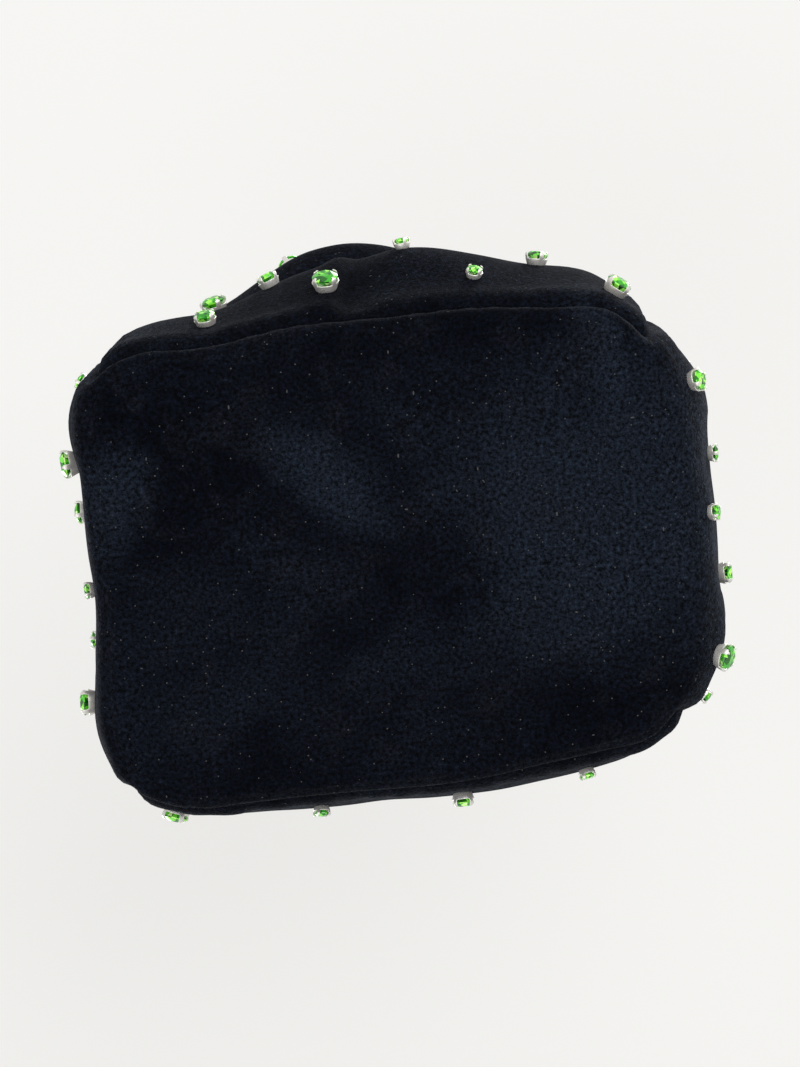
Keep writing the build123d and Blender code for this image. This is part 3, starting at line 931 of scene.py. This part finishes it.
def thick_sheet(points, faces, thickness, shift):
    """Solid metal from a thin sheet, with rounded edges."""
    sheet = mesh_object("sheet_trial", points, faces)
    solid = sheet.modifiers.new("thick", "SOLIDIFY")
    solid.thickness = thickness
    solid.offset = shift
    solid.use_even_offset = True
    rounding = sheet.modifiers.new("round", "BEVEL")
    rounding.width = 0.10
    rounding.segments = 2
    rounding.limit_method = "ANGLE"
    rounding.angle_limit = math.radians(50)
    graph = bpy.context.evaluated_depsgraph_get()
    mesh = bpy.data.meshes.new_from_object(sheet.evaluated_get(graph))
    bpy.data.objects.remove(sheet)
    out_points = np.array([v.co for v in mesh.vertices])
    out_faces = [tuple(p.vertices) for p in mesh.polygons]
    bpy.data.meshes.remove(mesh)
    return out_points, out_faces


def islands(node):
    """Centre of each separate solid of a CAD group, in the row frame."""
    shape = bmesh.new()
    shape.from_mesh(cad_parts[node].data)
    bmesh.ops.remove_doubles(shape, verts=shape.verts, dist=1e-6)
    left = set(shape.verts)
    centres = []
    while left:
        stack = [left.pop()]
        cluster = []
        while stack:
            vert = stack.pop()
            cluster.append(vert.co.copy())
            for edge in vert.link_edges:
                other = edge.other_vert(vert)
                if other in left:
                    left.remove(other)
                    stack.append(other)
        centres.append(sum(cluster, Vector()) / len(cluster))
    shape.free()
    return sorted(centres, key=lambda c: (round(c.z, 4), c.x, c.y))


def skin_tree():
    """Search tree over the velvet, to seat the stones on it."""
    points = []
    faces = []
    for piece in skins:
        first = len(points)
        points += [v.co.copy() for v in piece.data.vertices]
        faces += [tuple(first + i for i in p.vertices) for p in piece.data.polygons]
    return BVHTree.FromPolygons(points, faces)


def stone_object(name, stones):
    """One mesh of faceted stones; each facet gets its own random brightness of painted reflection."""
    rng = random.Random(SEED + len(name))
    points, faces, painted_glints = [], [], []
    for matrix, radius in stones:
        shape_points, top_faces, back_faces = brilliant(radius)
        for face in top_faces + back_faces:
            first = len(points)
            points += [matrix @ Vector(shape_points[i]) for i in face]
            faces.append(tuple(range(first, first + len(face))))
            # each facet's random share of painted reflection and glint
            painted_glints.append(rng.random())
    mesh = bpy.data.meshes.new(name)
    mesh.from_pydata([tuple(p) for p in points], [], faces)
    tone = mesh.attributes.new("facet_painted_glint", "FLOAT", "FACE")
    tone.data.foreach_set("value", painted_glints)
    mesh.materials.append(CRYSTAL)
    shape = bmesh.new()
    shape.from_mesh(mesh)
    bmesh.ops.remove_doubles(shape, verts=shape.verts, dist=1e-6)
    bmesh.ops.recalc_face_normals(shape, faces=shape.faces)
    shape.to_mesh(mesh)
    shape.free()
    return new_object(name, mesh)


def setting_object(name, stones, cups):
    """One mesh of settings, each from the cup made for its stone's size."""
    points, faces = [], []
    for matrix, radius in stones:
        cup_points, cup_faces = cups[radius]
        first = len(points)
        points += [matrix @ Vector(p) for p in cup_points]
        faces += [tuple(first + i for i in face) for face in cup_faces]
    thing = mesh_object(name, points, faces, merge=False)
    thing.data.materials.append(CLAW_METAL)
    return thing


def dress_walls():
    """Crystals and settings on each wall, standing on the settled velvet where the CAD has them."""
    tree = skin_tree()
    rng = random.Random(SEED)
    cups = {}
    for radius in SIZES.values():
        points, faces = claw_cup(radius)
        cups[radius] = thick_sheet(points, faces, CLAW_THICK, 1.0)
    for wall, out in WALL_OUTWARD.items():
        stones = []
        for size, radius in SIZES.items():
            for centre in islands(f"{wall}_{size}_crystals"):
                hit, way, _, _ = tree.ray_cast(centre + out * OUTSIDE, -out)
                if way.dot(out) < 0:
                    way = -way
                tilt = Vector((rng.uniform(-1, 1), rng.uniform(-1, 1), rng.uniform(-1, 1))) * STONE_TILT
                facing = (way + tilt).normalized().to_track_quat("Z", "Y").to_matrix().to_4x4()
                spin = Matrix.Rotation(rng.uniform(0, math.pi / 2), 4, "Z")
                place = Matrix.Translation(hit + way * STONE_LIFT)
                stones.append((place @ facing @ spin @ Matrix.Scale(MM, 4), radius))
        crystals = stone_object(f"crystals_{wall}", stones)
        settings = setting_object(f"settings_{wall}", stones, cups)
        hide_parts(*[f"{wall}_{size}_crystals" for size in SIZES])
        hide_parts(*[f"{wall}_{size}_settings" for size in SIZES])
        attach(crystals, "bag")
        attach(settings, "bag")


dress_walls()


# ------------------------------------------------------------------ carried-over CAD nodes

def paint(node, material):
    """Gives a CAD node its finished material."""
    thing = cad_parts[node]
    for index in range(max(1, len(thing.material_slots))):
        if thing.material_slots:
            thing.material_slots[index].material = material
        else:
            thing.data.materials.append(material)


for node in ("front_frame", "rear_frame", "left_hinge_pin", "right_hinge_pin",
             "front_clasp_ball", "rear_clasp_ball"):
    paint(node, FRAME_METAL)
for node in ("front_channel_cord", "rear_channel_cord"):
    paint(node, PAPER)
paint("base_board", BOARD)


# ------------------------------------------------------------------ stage, light and camera

STAGE_TINT = (1.0, 0.985, 0.95)


def one_sided(name, color, glow):
    """A plain pale surface that shows only from its front, so the bag can be seen from below."""
    m = Nodes(name)
    m.set(Base_Color=color, Roughness=0.9, Emission_Color=(*STAGE_TINT, 1), Emission_Strength=glow)
    back = m.add("ShaderNodeNewGeometry").outputs["Backfacing"]
    clear = m.add("ShaderNodeBsdfTransparent").outputs[0]
    chooser = m.add("ShaderNodeMixShader", {0: back, 1: m.shader.outputs[0], 2: clear})
    m.tree.links.new(chooser.outputs[0], m.tree.nodes["Material Output"].inputs["Surface"])
    return m.material


def stage_plane(name, height, size, facing_up, color, glow):
    """A level square of the stage, centred over the origin, that shows from one side only."""
    half = size / 2
    corners = [(-half, -half, height), (half, -half, height), (half, half, height), (-half, half, height)]
    mesh = bpy.data.meshes.new(name)
    mesh.from_pydata(corners, [], [(0, 1, 2, 3) if facing_up else (3, 2, 1, 0)])
    mesh.materials.append(one_sided(name, color, glow))
    plane = new_object(name, mesh)
    return plane


def area_light(name, place, target, size, power, color=(1, 1, 1)):
    """A round soft light aimed at a point."""
    light = bpy.data.lights.new(name, "AREA")
    light.shape = "DISK"
    light.size = size
    light.energy = power
    light.color = color
    lamp = new_object(name, light)
    lamp.location = place
    lamp.rotation_euler = (Vector(target) - Vector(place)).to_track_quat("-Z", "Y").to_euler()
    return lamp


FLOOR_HEIGHT = -0.0002
BACKDROP_HEIGHT = 0.24
STAGE_SIZE = 6.0
floor = stage_plane("floor", FLOOR_HEIGHT, STAGE_SIZE, True, (0.84, 0.83, 0.81, 1), 0.0)
backdrop = stage_plane("backdrop", BACKDROP_HEIGHT, STAGE_SIZE, False, (0.30, 0.30, 0.30, 1), 0.585)
for plane in (floor, backdrop):
    plane.visible_shadow = False
    plane.visible_diffuse = False
    plane.visible_glossy = False

world = bpy.data.worlds.new("studio")
world.use_nodes = True
world.node_tree.nodes["Background"].inputs["Color"].default_value = (0.95, 0.95, 0.95, 1)
world.node_tree.nodes["Background"].inputs["Strength"].default_value = 0.70
bpy.context.scene.world = world

area_light("key_below", (0.45, -0.60, -0.75), (0, 0, 0.03), 0.9, 7.0)
area_light("fill_below", (-0.55, 0.35, -0.80), (0, 0, 0.03), 1.2, 3.4, (0.94, 0.97, 1.0))
area_light("key_above", (0.50, -0.65, 0.95), (0, 0, 0.06), 0.8, 8.0)
area_light("rim_above", (-0.6, 0.55, 0.75), (0, 0, 0.08), 0.6, 4.5)

CAMERA_DISTANCE = 0.85
CAMERA_TILT = math.radians(6.5)
CAMERA_SIDE = math.radians(2.5)
CAMERA_ROLL = math.radians(5.5)
VIEW_HEIGHT = 0.298
camera_data = bpy.data.cameras.new("camera")
camera = new_object("camera", camera_data)
camera_data.sensor_width = 36
camera_data.lens = 36 * CAMERA_DISTANCE / VIEW_HEIGHT
aim = Vector((-0.0009, -0.0035, 0.0))
away = Vector((math.sin(CAMERA_SIDE), -math.sin(CAMERA_TILT), -math.cos(CAMERA_TILT))).normalized()
camera.location = aim + away * CAMERA_DISTANCE
right_axis = Vector((0, -1, 0)).cross(away).normalized()
up_axis = away.cross(right_axis).normalized()
turn = Matrix((right_axis, up_axis, away)).transposed().to_4x4() @ Matrix.Rotation(-CAMERA_ROLL, 4, "Z")
camera.matrix_world = Matrix.Translation(camera.location) @ turn
bpy.context.scene.camera = camera

scene = bpy.context.scene
scene.view_settings.view_transform = "Standard"
